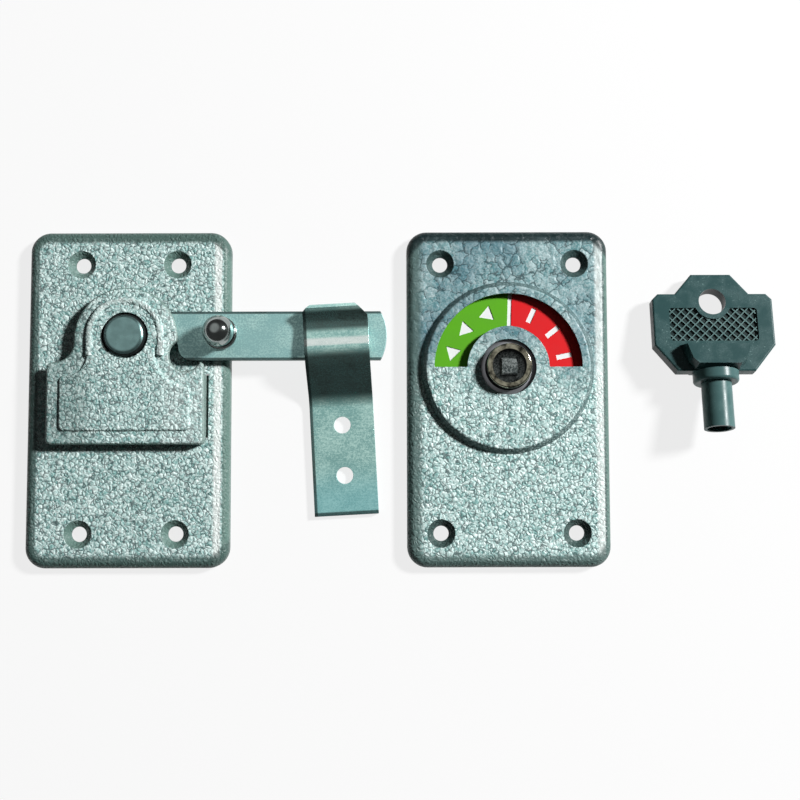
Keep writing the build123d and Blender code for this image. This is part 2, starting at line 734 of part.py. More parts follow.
# Emergency key, tipped up on the block's edge until the top edge of the bow meets the surface
key_face = bow_thickness / 2
tip_arm_y = bow_top_rise - bow_edge_round + block_top_drop + collar_radius * math.tan(math.radians(block_draft))
tip_arm_z = collar_radius - key_face + bow_edge_round
key_pitch = math.atan2(tip_arm_z, tip_arm_y) - math.asin(bow_edge_round / math.hypot(tip_arm_y, tip_arm_z))
key_z = (bow_top_rise - bow_edge_round) * math.sin(key_pitch)
key_z += (key_face - bow_edge_round) * math.cos(key_pitch) + bow_edge_round
key_plane = Plane((key_x, key_y, key_z), x_dir=(1, 0, 0), z_dir=(0, math.sin(key_pitch), math.cos(key_pitch)))
shank_axis = -key_plane.y_dir
with BuildPart() as emergency_key:
    with BuildSketch(key_plane):
        half_bow = bow_width / 2
        with BuildLine():
            Polyline(
                (0, bow_top_rise),
                (bow_top_width / 2, bow_top_rise),
                (half_bow - bow_shoulder_in, bow_shoulder_rise),
                (half_bow - bow_corner_clip, bow_shoulder_rise),
                (half_bow, bow_shoulder_rise - bow_corner_clip),
                (half_bow, -bow_side_drop),
                (bow_bottom_width / 2, -bow_bottom_drop),
                (0, -bow_bottom_drop),
                close=True,
            )
        make_face()
        mirror(about=Plane.YZ)
    extrude(amount=key_face, both=True)
    fillet(emergency_key.edges().filter_by(key_plane), radius=bow_edge_round)
    # the tapered block and the collar at the root of the shank
    for face in (-1, 1):
        with BuildSketch(Plane(key_plane.origin, x_dir=key_plane.x_dir, z_dir=key_plane.z_dir * face)):
            with BuildLine():
                Polyline(
                    (face * block_top_width / 2, -face * block_top_drop),
                    (-face * block_top_width / 2, -face * block_top_drop),
                    (-face * block_bottom_width / 2, -face * block_bottom_drop),
                    (-face * collar_radius, -face * bow_bottom_drop),
                    (face * collar_radius, -face * bow_bottom_drop),
                    (face * block_bottom_width / 2, -face * block_bottom_drop),
                    close=True,
                )
            make_face()
        extrude(amount=collar_radius, taper=block_draft)
    collar_spot = key_plane.from_local_coords((0, -bow_bottom_drop, 0))
    collar_plane = Plane(collar_spot, x_dir=key_plane.x_dir, z_dir=shank_axis)
    with BuildSketch(collar_plane):
        Circle(collar_radius)
    extrude(amount=collar_length)
    fillet(emergency_key.edges().sort_by(Axis.Y)[0], radius=collar_round)
    with BuildSketch(collar_plane):
        Circle(shank_radius)
    extrude(amount=shank_end_drop - bow_bottom_drop)
    # the ring hole and the sunk grips on both faces, with crossing ribs
    with BuildSketch(key_plane):
        Circle(ring_hole_radius)
    extrude(amount=key_face, both=True, mode=Mode.SUBTRACT)
    rib_count = math.ceil((grip_width + grip_bottom_drop) / grip_rib_pitch)
    grip_mid = -(grip_top_drop + grip_bottom_drop) / 2
    grip_height = grip_bottom_drop - grip_top_drop
    for face in (-1, 1):
        floor = face * (key_face - grip_depth)
        with BuildSketch(key_plane.offset(floor)):
            with Locations((0, grip_mid)):
                RectangleRounded(grip_width, grip_height, grip_corner)
            Circle(ring_boss_radius, mode=Mode.SUBTRACT)
        extrude(amount=face * grip_depth, mode=Mode.SUBTRACT)
        with BuildSketch(key_plane.offset(floor)):
            with Locations((0, grip_mid)):
                for slant in (-45, 45):
                    with Locations(Location((0, 0), slant)):
                        with GridLocations(grip_rib_pitch, grip_rib_pitch, rib_count, 1):
                            Rectangle(grip_rib_width, grip_width)
            with Locations((0, grip_mid)):
                RectangleRounded(grip_width, grip_height, grip_corner, mode=Mode.INTERSECT)
            Circle(ring_boss_radius, mode=Mode.SUBTRACT)
        extrude(amount=face * grip_rib_height)
    end_spot = key_plane.from_local_coords((0, -shank_end_drop, 0))
    shank_end = Plane(end_spot, x_dir=key_plane.x_dir, z_dir=shank_axis)
    with BuildSketch(shank_end):
        Rectangle(
            bar_across_flats + 2 * key_corner_clearance,
            bar_across_flats + 2 * key_corner_clearance,
        )
    extrude(amount=-key_socket_depth, mode=Mode.SUBTRACT)
    with BuildSketch(shank_end):
        Circle(lead_in_radius)
    extrude(amount=-lead_in_depth, mode=Mode.SUBTRACT)

pieces = {
    "inner_plate": inner_plate,
    "latch_cover": latch_cover,
    "latch_arm": latch_arm,
    "arm_knob": arm_knob,
    "pivot_stud": pivot_stud,
    "thrust_washer": thrust_washer,
    "retaining_washer": retaining_washer,
    "retaining_ring": retaining_ring,
    "detent_spring": detent_spring,
    "spring_posts": spring_posts,
    "keeper_hook": keeper_hook,
    "outer_plate": outer_plate,
    "spindle_tube": spindle_tube,
    "drive_peg": drive_peg,
    "indicator_disc": indicator_disc,
    "green_label": green_label,
    "red_label": red_label,
    "friction_washer": friction_washer,
    "rear_strap": rear_strap,
    "emergency_key": emergency_key,
}
for name, piece in pieces.items():
    piece.part.label = name
    export_step(piece.part, f"parts/{name}.step")
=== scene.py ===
"""Dresses the cubicle door latch kit: finishes, finer pieces, studio and camera."""

import logging
import math
from dataclasses import dataclass
from enum import Enum
from typing import Any, NamedTuple, Sequence

import bpy
from mathutils import Matrix, Vector


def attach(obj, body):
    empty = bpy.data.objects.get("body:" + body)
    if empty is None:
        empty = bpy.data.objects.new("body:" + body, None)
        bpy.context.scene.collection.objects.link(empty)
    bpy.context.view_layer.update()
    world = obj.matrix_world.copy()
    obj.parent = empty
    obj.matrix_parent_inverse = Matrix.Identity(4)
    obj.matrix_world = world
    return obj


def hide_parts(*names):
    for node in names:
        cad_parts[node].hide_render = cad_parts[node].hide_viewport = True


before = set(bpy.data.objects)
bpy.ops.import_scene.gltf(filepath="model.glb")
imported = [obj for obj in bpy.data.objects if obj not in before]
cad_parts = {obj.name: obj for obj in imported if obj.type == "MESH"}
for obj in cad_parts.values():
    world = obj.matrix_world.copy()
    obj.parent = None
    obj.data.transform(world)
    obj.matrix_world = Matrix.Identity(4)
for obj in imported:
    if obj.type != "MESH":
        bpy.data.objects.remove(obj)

Colour = tuple[float, float, float]
Point = tuple[float, float, float]
Span = tuple[float, float]
LOG = logging.getLogger("latch_kit")
MM = 0.001
FRAME_STEEL = "spring_steel"

DIAGONAL = math.sqrt(0.5)
EAST: Point = (1.0, 0.0, 0.0)
WEST: Point = (-1.0, 0.0, 0.0)
NORTH: Point = (0.0, 1.0, 0.0)
SOUTH: Point = (0.0, -1.0, 0.0)
NORTH_EAST: Point = (DIAGONAL, DIAGONAL, 0.0)
NORTH_WEST: Point = (-DIAGONAL, DIAGONAL, 0.0)
SOUTH_EAST: Point = (DIAGONAL, -DIAGONAL, 0.0)
SOUTH_WEST: Point = (-DIAGONAL, -DIAGONAL, 0.0)
UPWARD: Point = (0.0, 0.0, 1.0)
KEEPER_HEAD: Point = (-0.0523, 0.9986, 0.0)
KEEPER_FOOT: Point = (0.0523, -0.9986, 0.0)
KEEPER_LEFT: Point = (-0.9986, -0.0523, 0.0)
KEY_SHANK: Point = (0.0, -0.9821, 0.1884)

# Colours that several finishes share
# Painted shade on rims, in sinks and on pressed slopes
RIM_SHADE: Colour = (0.11, 0.19, 0.165)
# Painted shade along the plates' left and lower edges and the cover's left side
SHADE: Colour = (0.055, 0.10, 0.09)
# Painted shadow: near black lines and bands where shade and dark reflections fall
PAINTED_SHADOW: Colour = (0.010, 0.020, 0.019)
# Painted highlight: bright lines and streaks where the light catches
PAINTED_HIGHLIGHT: Colour = (0.95, 1.0, 0.97)
WHITE: Colour = (1.0, 1.0, 1.0)
ZINC: Colour = (0.56, 0.85, 0.80)
DULL_ZINC: Colour = (0.30, 0.54, 0.53)


class Slot(str, Enum):
    """The record's finish slots of the new pieces, which are passed along but not used."""

    PAINT = "hammered_paint"
    ZINC = "zinc_plate"
    STRIP = "bright_strip"


class Body(str, Enum):
    """The moving bodies that the new pieces ride on."""

    INNER = "inner_unit"
    ARM = "arm"
    KEEPER = "keeper"
    OUTER = "outer_unit"


class Graph:
    """A node tree that is filled one node at a time."""

    COLUMN_WIDTH = 190
    MIX_FACTOR = 0
    MIX_NUMBERS = (2, 3)
    MIX_COLOURS = (6, 7)
    MIXED_NUMBER = 0
    MIXED_COLOUR = 2

    def __init__(self, tree: bpy.types.NodeTree) -> None:
        """Keeps the tree that the nodes go into.

        Args:
            tree: The node tree of a material, a world or a group.
        """
        self.tree = tree
        self.column = 0

    def node(self, kind: str, sockets: dict[Any, Any] | None = None, **settings: Any) -> bpy.types.Node:
        """Adds one node, sets its properties and sets or links its inputs.

        Args:
            kind: Blender's name for the node type.
            sockets: Input name or number to a value or to an output that feeds it.
            **settings: Properties of the node.

        Returns:
            The new node.
        """
        made = self.tree.nodes.new(kind)
        made.location = (self.column, 0)
        self.column += self.COLUMN_WIDTH
        for name, value in settings.items():
            setattr(made, name, value)
        for name, value in (sockets or {}).items():
            self.feed(made.inputs[name], value)
        return made

    def feed(self, socket: bpy.types.NodeSocket, value: Any) -> None:
        """Links an output into a socket, or sets the socket to a plain value.

        Args:
            socket: The input socket.
            value: An output socket, a number, a vector or a colour of three parts.
        """
        if isinstance(value, bpy.types.NodeSocket):
            self.tree.links.new(value, socket)
        elif socket.type == "RGBA" and len(value) == 3:
            socket.default_value = (*value, 1.0)
        else:
            socket.default_value = value

    def vector_math(self, operation: str, sockets: dict[Any, Any]) -> Any:
        """Returns the outputs of one Vector Math node."""
        return self.node("ShaderNodeVectorMath", sockets, operation=operation).outputs

    def millimetres(self) -> bpy.types.NodeSocket:
        """Returns the piece's own coordinates in millimetres."""
        return self.scaled(self.node("ShaderNodeTexCoord").outputs["Object"], 1.0 / MM)

    def scaled(self, vector: Any, factor: Any) -> bpy.types.NodeSocket:
        """Returns the vector times one factor."""
        return self.vector_math("SCALE", {0: vector, "Scale": factor})["Vector"]

    def stretched(self, vector: Any, factors: Any) -> bpy.types.NodeSocket:
        """Returns the vector times one factor on each axis."""
        return self.vector_math("MULTIPLY", {0: vector, 1: factors})["Vector"]

    def moved(self, vector: Any, offset: Any) -> bpy.types.NodeSocket:
        """Returns the vector plus an offset."""
        return self.vector_math("ADD", {0: vector, 1: offset})["Vector"]

    def along(self, vector: Any, way: Point) -> bpy.types.NodeSocket:
        """Returns how far the vector reaches along a direction."""
        return self.vector_math("DOT_PRODUCT", {0: vector, 1: way})["Value"]

    def part(self, vector: Any, axis: str) -> bpy.types.NodeSocket:
        """Returns the X, Y or Z of a vector."""
        return self.node("ShaderNodeSeparateXYZ", {0: vector}).outputs[axis]

    def math(self, operation: str, *values: Any) -> bpy.types.NodeSocket:
        """Returns one Math node's result."""
        return self.node("ShaderNodeMath", dict(enumerate(values)), operation=operation).outputs[0]

    def step(self, value: Any, low: float, high: float) -> bpy.types.NodeSocket:
        """Returns a smooth rise, which falls along the value where low is the larger number.

        Args:
            value: The value that is mapped.
            low: Where the result is 0.
            high: Where the result is 1.

        Returns:
            A mask from 0 to 1.
        """
        flip = low > high
        sockets = {
            "Value": value,
            "From Min": min(low, high),
            "From Max": max(low, high),
            "To Min": float(flip),
            "To Max": float(not flip),
        }
        made = self.node("ShaderNodeMapRange", sockets, interpolation_type="SMOOTHSTEP")
        return made.outputs["Result"]

    def blend(self, factor: Any, first: Any, second: Any) -> bpy.types.NodeSocket:
        """Returns the first colour at factor 0 and the second at factor 1."""
        sockets = {self.MIX_FACTOR: factor, **dict(zip(self.MIX_COLOURS, (first, second)))}
        return self.node("ShaderNodeMix", sockets, data_type="RGBA").outputs[self.MIXED_COLOUR]

    def between(self, factor: Any, first: Any, second: Any) -> bpy.types.NodeSocket:
        """Returns the first number at factor 0 and the second at factor 1."""
        sockets = {self.MIX_FACTOR: factor, **dict(zip(self.MIX_NUMBERS, (first, second)))}
        return self.node("ShaderNodeMix", sockets, data_type="FLOAT").outputs[self.MIXED_NUMBER]

    def noise(self, vector: Any, scale: Any, detail: float = 3.0) -> Any:
        """Returns the outputs of a soft noise between 0 and 1."""
        return self.node("ShaderNodeTexNoise", {"Vector": vector, "Scale": scale, "Detail": detail}).outputs

    def voronoi(self, vector: Any, feature: str) -> Any:
        """Returns the outputs of a cell pattern with cells one unit wide."""
        return self.node("ShaderNodeTexVoronoi", {"Vector": vector, "Scale": 1.0}, feature=feature).outputs

    def group(self, tree: bpy.types.NodeTree, **sockets: Any) -> Any:
        """Places a shared node group.

        Args:
            tree: The group's tree.
            **sockets: Input name to a value or an output.

        Returns:
            The outputs of the group's node.
        """
        return self.node("ShaderNodeGroup", sockets, node_tree=tree).outputs


class Effects:
    """The node groups that several finishes share."""

    DRIFT_SCALE = 0.55
    CENTRE: Point = (-0.5, -0.5, -0.5)
    FAINT_SCALE = 0.8
    FAINT_DETAIL = 2.0
    FAINT_SPAN: Span = (0.38, 0.62)
    LEAST_CRACK = 0.08
    DOME_SPAN: Span = (0.0, 0.42)
    GRAIN_DETAIL = 2.0
    FLECK_SPAN: Span = (0.36, 0.64)
    LINE_DETAIL = 4.0
    LINE_SPAN: Span = (0.3, 0.7)
    SMUDGE_DETAIL = 4.0
    SMUDGE_SPAN: Span = (0.35, 0.68)

    def __init__(self) -> None:
        """Builds every group once."""
        self.cells = self._cells()
        self.grain = self._grain()
        self.lines = self._lines()
        self.smudge = self._smudge()

    def _open(self, name: str, numbers: Sequence[str], vectors: Sequence[str],
              outputs: Sequence[str]) -> tuple[Graph, Any, Any]:
        """Starts a group with its sockets.

        Args:
            name: The group's name.
            numbers: Names of the inputs that are plain numbers.
            vectors: Names of the inputs that are vectors.
            outputs: Names of the outputs, all plain numbers.

        Returns:
            The group's graph, what comes into it and what it gives.
        """
        tree = bpy.data.node_groups.new(name, "ShaderNodeTree")
        rows = [(label, "INPUT", "NodeSocketVector") for label in vectors]
        rows += [(label, "INPUT", "NodeSocketFloat") for label in numbers]
        rows += [(label, "OUTPUT", "NodeSocketFloat") for label in outputs]
        for label, side, kind in rows:
            tree.interface.new_socket(name=label, in_out=side, socket_type=kind)
        graph = Graph(tree)
        return graph, graph.node("NodeGroupInput").outputs, graph.node("NodeGroupOutput").inputs

    def _cells(self) -> bpy.types.NodeTree:
        """Makes hammered cells.

        Returns:
            A group that gives the cracks between the cells, one tone for each cell and their domed height.
        """
        graph, taken, given = self._open(
            "hammered_cells", ("Cell", "Warp", "Crack"), ("Vector",), ("Crack", "Tone", "Height")
        )
        place = taken["Vector"]
        centred = graph.moved(graph.noise(place, self.DRIFT_SCALE)["Color"], self.CENTRE)
        bent = graph.moved(place, graph.scaled(centred, taken["Warp"]))
        unit = graph.scaled(bent, graph.math("DIVIDE", 1.0, taken["Cell"]))
        edge = graph.voronoi(unit, "DISTANCE_TO_EDGE")["Distance"]
        faint = graph.step(graph.noise(unit, self.FAINT_SCALE, self.FAINT_DETAIL)["Fac"], *self.FAINT_SPAN)
        width = graph.math("MULTIPLY", taken["Crack"], graph.math("MAXIMUM", faint, self.LEAST_CRACK))
        graph.feed(given["Crack"], graph.step(graph.math("DIVIDE", edge, width), 1.0, 0.0))
        graph.feed(given["Tone"], graph.part(graph.voronoi(unit, "F1")["Color"], "X"))
        graph.feed(given["Height"], graph.step(edge, *self.DOME_SPAN))
        return graph.tree

    def _grain(self) -> bpy.types.NodeTree:
        """Makes an even grain.

        Returns:
            A group that gives sharp dark and light flecks and their height.
        """
        graph, taken, given = self._open("grain", ("Size",), ("Vector",), ("Fleck", "Height"))
        scale = graph.math("DIVIDE", 1.0, taken["Size"])
        fine = graph.noise(taken["Vector"], scale, self.GRAIN_DETAIL)["Fac"]
        graph.feed(given["Fleck"], graph.step(fine, *self.FLECK_SPAN))
        graph.feed(given["Height"], fine)
        return graph.tree

    def _lines(self) -> bpy.types.NodeTree:
        """Makes drawn lines.

        Returns:
            A group that gives lines along the axis on which the Stretch is smallest.
        """
        graph, taken, given = self._open("drawn_lines", (), ("Vector", "Stretch"), ("Line",))
        drawn = graph.stretched(taken["Vector"], taken["Stretch"])
        line = graph.noise(drawn, 1.0, self.LINE_DETAIL)["Fac"]
        graph.feed(given["Line"], graph.step(line, *self.LINE_SPAN))
        return graph.tree

    def _smudge(self) -> bpy.types.NodeTree:
        """Makes broad soft patches, as of handling and uneven plating.

        Returns:
            A group that gives the patches.
        """
        graph, taken, given = self._open("smudge", ("Size",), ("Vector",), ("Patch",))
        scale = graph.math("DIVIDE", 1.0, taken["Size"])
        patch = graph.noise(taken["Vector"], scale, self.SMUDGE_DETAIL)["Fac"]
        graph.feed(given["Patch"], graph.step(patch, *self.SMUDGE_SPAN))
        return graph.tree


@dataclass(frozen=True)
class Stripe:
    """A soft-edged stripe across a surface, by the distance along a direction in millimetres."""

    direction: Point
    start: float
    full: float
    # By default a stripe lays painted shadow
    colour: Colour = PAINTED_SHADOW
    share: float = 0.95
    end: float = 500.0
    gone: float = 501.0

    def lay(self, graph: Graph, place: Any, colour: Any, wear_and_painted_light: Any) -> bpy.types.NodeSocket:
        """Lays the stripe over a colour.

        Args:
            graph: The material's graph.
            place: Place on the surface in millimetres.
            colour: The colour below.
            wear_and_painted_light: How much of the stripe is left, from 0 to 1.

        Returns:
            The new colour.
        """
        along = graph.along(place, self.direction)
        rise = graph.step(along, self.start, self.full)
        drop = graph.step(along, self.gone, self.end)
        share = graph.math("MULTIPLY", graph.math("MULTIPLY", rise, drop), self.share)
        return graph.blend(graph.math("MULTIPLY", share, wear_and_painted_light), colour, self.colour)


def lay_stripes(stripes: Sequence[Stripe], graph: Graph, place: Any, colour: Any, wear_and_painted_light: Any) -> Any:
    """Lays stripes over a colour, each over the ones before it.

    Args:
        stripes: The stripes.
        graph: The material's graph.
        place: Place on the surface in millimetres.
        colour: The colour below.
        wear_and_painted_light: How much of the stripes is left, from 0 to 1.

    Returns:
        The new colour.
    """
    for stripe in stripes:
        colour = stripe.lay(graph, place, colour, wear_and_painted_light)
    return colour


class Band(NamedTuple):
    """A band along an edge: how far inside it starts to show and is full, in millimetres, and its share."""

    shows: float
    full: float
    share: float

    def stripe(self, way: Point, reach: float, colour: Colour) -> Stripe:
        """Returns the band as a stripe for an edge that lies at reach along way."""
        return Stripe(way, reach - self.shows, reach - self.full, colour, self.share)


@dataclass(frozen=True)
class PlateEdges:
    """Painted shade in bands along a plate's edges and a painted highlight as a bright line inside its right
    one, in millimetres.
    """

    middle: float
    left: Band
    right: Band
    top_shade: Colour
    shade: Colour
    highlight_share: float
    half_width: float = 30.0
    half_length: float = 50.0
    corner_reach: float = 54.08
    top: Band = Band(4.0, 2.7, 0.97)
    top_left: Band = Band(4.2, 2.8, 0.95)
    top_right: Band = Band(4.0, 2.6, 0.95)
    bottom: Band = Band(4.6, 2.6, 0.9)
    bottom_left: Band = Band(4.6, 2.8, 0.9)
    bottom_right: Band = Band(4.0, 2.6, 0.8)
    highlight_rise: Span = (-2.9, -1.7)
    highlight_drop: Span = (-0.5, 0.1)

    def stripes(self) -> tuple[Stripe, ...]:
        """Works out the stripes from the plate's edges.

        Returns:
            The stripes, each laid over the ones before it.
        """
        edge = self.middle + self.half_width
        line = edge - self.right.shows
        rise, full = (line + value for value in self.highlight_rise)
        end, gone = (line + value for value in self.highlight_drop)
        slant = self.middle * DIAGONAL
        near, far = self.corner_reach - slant, self.corner_reach + slant
        return (
            Stripe(EAST, rise, full, PAINTED_HIGHLIGHT, self.highlight_share, end, gone),
            self.right.stripe(EAST, edge, RIM_SHADE),
            self.left.stripe(WEST, self.half_width - self.middle, self.shade),
            self.bottom.stripe(SOUTH, self.half_length, self.shade),
            self.bottom_left.stripe(SOUTH_WEST, near, self.shade),
            self.bottom_right.stripe(SOUTH_EAST, far, self.shade),
            self.top.stripe(NORTH, self.half_length, self.top_shade),
            self.top_left.stripe(NORTH_WEST, near, self.top_shade),
            self.top_right.stripe(NORTH_EAST, far, self.top_shade),
        )


@dataclass(frozen=True)
class Finish:
    """A finish that can make its material. Its pattern sizes are in millimetres."""

    name: str

    def build(self, effects: Effects) -> bpy.types.Material:
        """Makes the material with one shader and paints it.

        Args:
            effects: The shared node groups.

        Returns:
            The new material.
        """
        material = bpy.data.materials.new(self.name)
        material.use_nodes = True
        material.node_tree.nodes.clear()
        graph = Graph(material.node_tree)
        shader = graph.node("ShaderNodeBsdfPrincipled")
        graph.node("ShaderNodeOutputMaterial", {"Surface": shader.outputs[0]})
        self.paint(graph, shader.inputs, effects)
        return material

    def paint(self, graph: Graph, shader: Any, effects: Effects) -> None:
        """Feeds the shader's inputs, in a way that each finish has of its own."""
        raise NotImplementedError(self.name)

    def raise_surface(self, graph: Graph, shader: Any, height: Any, relief: Span) -> None:
        """Feeds a height into the shader's normal.

        Args:
            graph: The material's graph.
            shader: The shader's inputs.
            height: The height, mostly between 0 and 1.
            relief: How strongly it tells, and the depth of its full height in millimetres.
        """
        strength, depth = relief
        sockets = {"Height": height, "Strength": strength, "Distance": depth * MM}
        graph.feed(shader["Normal"], graph.node("ShaderNodeBump", sockets).outputs["Normal"])


@dataclass(frozen=True)
class Cells:
    """Hammered cells: their size in millimetres, how far they wander and the share of the cracks."""

    size: float
    warp: float
    crack: float

    def lay(self, graph: Graph, place: Any, effects: Effects) -> Any:
        """Returns the outputs of the shared group at these sizes."""
        return graph.group(effects.cells, Vector=place, Cell=self.size, Warp=self.warp, Crack=self.crack)


@dataclass(frozen=True)
class HammeredEnamel(Finish):
    """Silver hammered enamel over pressed steel, with fine cells that grow coarse towards one end.

    Heights and lengths are in millimetres. Rims and sinks below rim_top take painted shade, and so does the
    slope of a pressed step between slope_foot and slope_top. Stripes lay painted shade and painted
    highlights along a plate's edges.
    """

    rim_top: float
    rim_foot: float
    stripes: tuple[Stripe, ...]
    slope_foot: float = -2.0
    slope_top: float = -1.0
    slope_share: float = 0.5
    slope: Colour = RIM_SHADE
    rim_and_sink_shade: Colour = RIM_SHADE
    coarse_from: float = 200.0
    coarse_to: float = 210.0
    fine: Cells = Cells(1.3, 1.3, 0.2)
    coarse: Cells = Cells(3.1, 2.6, 0.11)
    light: Colour = (0.82, 0.98, 0.95)
    dull: Colour = (0.20, 0.40, 0.38)
    far: Colour = (0.03, 0.12, 0.17)
    gap: Colour = (0.012, 0.03, 0.035)
    grain_size: float = 0.6
    patch_size: float = 16.0
    sway: float = 10.0
    cell_tone: float = 0.5
    base_tone: float = -0.05
    fleck_tone: float = 0.6
    far_share: Span = (0.5, 0.78)
    gap_share: float = 0.8
    slope_fade: float = 0.25
    slope_shade_flecks: Span = (1.0, 0.75)
    rim_shade_patchiness: Span = (0.84, 0.97)
    stripe_patchiness: Span = (0.92, 1.0)
    rough: Span = (0.5, 0.34)
    specular: float = 0.25
    coat: float = 0.1
    coat_rough: float = 0.25
    grain_relief: float = 0.3
    relief: Span = (0.8, 0.2)

    def paint(self, graph: Graph, shader: Any, effects: Effects) -> None:
        """Feeds the shader's inputs.

        Args:
            graph: The material's graph.
            shader: The shader's inputs.
            effects: The shared node groups.
        """
        place = graph.millimetres()
        fine, coarse = self.fine.lay(graph, place, effects), self.coarse.lay(graph, place, effects)
        grain = graph.group(effects.grain, Vector=place, Size=self.grain_size)
        patch = graph.group(effects.smudge, Vector=place, Size=self.patch_size)["Patch"]
        sway = graph.math("MULTIPLY_ADD", patch, self.sway, graph.part(place, "Y"))
        share = graph.step(sway, self.coarse_from, self.coarse_to)
        names = ("Crack", "Tone", "Height")
        crack, tone, dome = (graph.between(share, fine[name], coarse[name]) for name in names)
        colour = self._field(graph, tone, grain["Fleck"])
        depth = graph.between(patch, *self.far_share)
        colour = graph.blend(graph.math("MULTIPLY", share, depth), colour, self.far)
        colour = graph.blend(graph.math("MULTIPLY", crack, self.gap_share), colour, self.gap)
        colour = self._slopes(graph, colour, graph.part(place, "Z"), grain["Fleck"], patch)
        # The stripes' painted shade and painted highlights are broken up in patches
        wear_and_painted_light = graph.between(patch, *self.stripe_patchiness)
        graph.feed(shader["Base Color"], lay_stripes(self.stripes, graph, place, colour, wear_and_painted_light))
        graph.feed(shader["Specular IOR Level"], self.specular)
        graph.feed(shader["Roughness"], graph.between(grain["Fleck"], *self.rough))
        graph.feed(shader["Coat Weight"], self.coat)
        graph.feed(shader["Coat Roughness"], self.coat_rough)
        height = graph.math("MULTIPLY_ADD", grain["Height"], self.grain_relief, dome)
        self.raise_surface(graph, shader, height, self.relief)

    def _field(self, graph: Graph, tone: Any, fleck: Any) -> bpy.types.NodeSocket:
        """Returns the colour of the flat field from the cells' tones and the flecks."""
        base = graph.math("MULTIPLY_ADD", tone, self.cell_tone, self.base_tone)
        return graph.blend(graph.math("MULTIPLY_ADD", fleck, self.fleck_tone, base), self.dull, self.light)

    def _slopes(self, graph: Graph, colour: Any, height: Any, fleck: Any, patch: Any) -> Any:
        """Lays painted shade on the slope of a pressed step, and then on the rims and sinks.

        Args:
            graph: The material's graph.
            colour: The colour of the field.
            height: The height in millimetres.
            fleck: The grain's flecks.
            patch: The soft patches.

        Returns:
            The new colour.
        """
        # Painted shade on the slope, broken up by the flecks
        rise = graph.step(height, self.slope_foot, self.slope_foot + self.slope_fade)
        drop = graph.step(height, self.slope_top, self.slope_top - self.slope_fade)
        slope = graph.math("MULTIPLY", rise, drop)
        slope = graph.math("MULTIPLY", slope, graph.between(fleck, *self.slope_shade_flecks))
        colour = graph.blend(graph.math("MULTIPLY", slope, self.slope_share), colour, self.slope)
        # Painted shade on the rims and in the sinks, broken up in patches
        below = graph.step(height, self.rim_top, self.rim_foot)
        wear_and_painted_light = graph.between(patch, *self.rim_shade_patchiness)
        return graph.blend(graph.math("MULTIPLY", below, wear_and_painted_light), colour, self.rim_and_sink_shade)


@dataclass(frozen=True)
class PlatedSteel(Finish):
    """Zinc plating with drawn lines, small flecks, soft tarnish and stripes of painted shade, painted
    highlight and tint.
    """

    bright: Colour
    tarnish: Colour
    stretch: Point
    rough: Span
    fleck: float = 0.35
    metal: float = 0.62
    stripes: tuple[Stripe, ...] = ()
    grain_size: float = 0.45
    patch_size: float = 7.0
    line_share: float = 0.35
    patch_share: float = 0.5
    stripe_patchiness: Span = (1.0, 0.8)
    grain_relief: float = 0.6
    relief: Span = (0.25, 0.03)

    def paint(self, graph: Graph, shader: Any, effects: Effects) -> None:
        """Feeds the shader's inputs.

        Args:
            graph: The material's graph.
            shader: The shader's inputs.
            effects: The shared node groups.
        """
        place = graph.millimetres()
        line = graph.group(effects.lines, Vector=place, Stretch=self.stretch)["Line"]
        grain = graph.group(effects.grain, Vector=place, Size=self.grain_size)
        patch = graph.group(effects.smudge, Vector=place, Size=self.patch_size)["Patch"]
        mask = graph.math("MULTIPLY", patch, self.patch_share)
        mask = graph.math("MULTIPLY_ADD", line, self.line_share, mask)
        mask = graph.math("MULTIPLY_ADD", grain["Fleck"], self.fleck, mask)
        colour = graph.blend(mask, self.bright, self.tarnish)
        wear_and_painted_light = graph.between(mask, *self.stripe_patchiness)
        graph.feed(shader["Base Color"], lay_stripes(self.stripes, graph, place, colour, wear_and_painted_light))
        graph.feed(shader["Metallic"], self.metal)
        graph.feed(shader["Roughness"], graph.between(mask, *self.rough))
        height = graph.math("MULTIPLY_ADD", grain["Height"], self.grain_relief, line)
        self.raise_surface(graph, shader, height, self.relief)


@dataclass(frozen=True)
class PolishedNickel(Finish):
    """Polished nickel with light handling marks and painted shade below a given height in millimetres."""

    bright: Colour
    dark_from: float = -2.0
    dark_to: float = -1.0
    rough: float = 0.1
    smear: float = 3.0
    clean: float = 0.78
    # Painted shade on the lower parts, such as the stud head's rounded rim and the tube's wall
    dark: Colour = (0.03, 0.035, 0.035)
    grain_size: float = 0.3
    smear_rough: float = 0.1
    dark_rough: float = 0.3
    relief: Span = (0.15, 0.01)

    def paint(self, graph: Graph, shader: Any, effects: Effects) -> None:
        """Feeds the shader's inputs.

        Args:
            graph: The material's graph.
            shader: The shader's inputs.
            effects: The shared node groups.
        """
        place = graph.millimetres()
        patch = graph.group(effects.smudge, Vector=place, Size=self.smear)["Patch"]
        grain = graph.group(effects.grain, Vector=place, Size=self.grain_size)
        below = graph.step(graph.part(place, "Z"), self.dark_to, self.dark_from)
        wear_and_painted_light = graph.blend(patch, self.bright, tuple(self.clean * value for value in self.bright))
        graph.feed(shader["Base Color"], graph.blend(below, wear_and_painted_light, self.dark))
        graph.feed(shader["Metallic"], 1.0)
        rough = graph.math("MULTIPLY_ADD", patch, self.smear_rough, self.rough)
        graph.feed(shader["Roughness"], graph.math("MULTIPLY_ADD", below, self.dark_rough, rough))
        self.raise_surface(graph, shader, grain["Height"], self.relief)


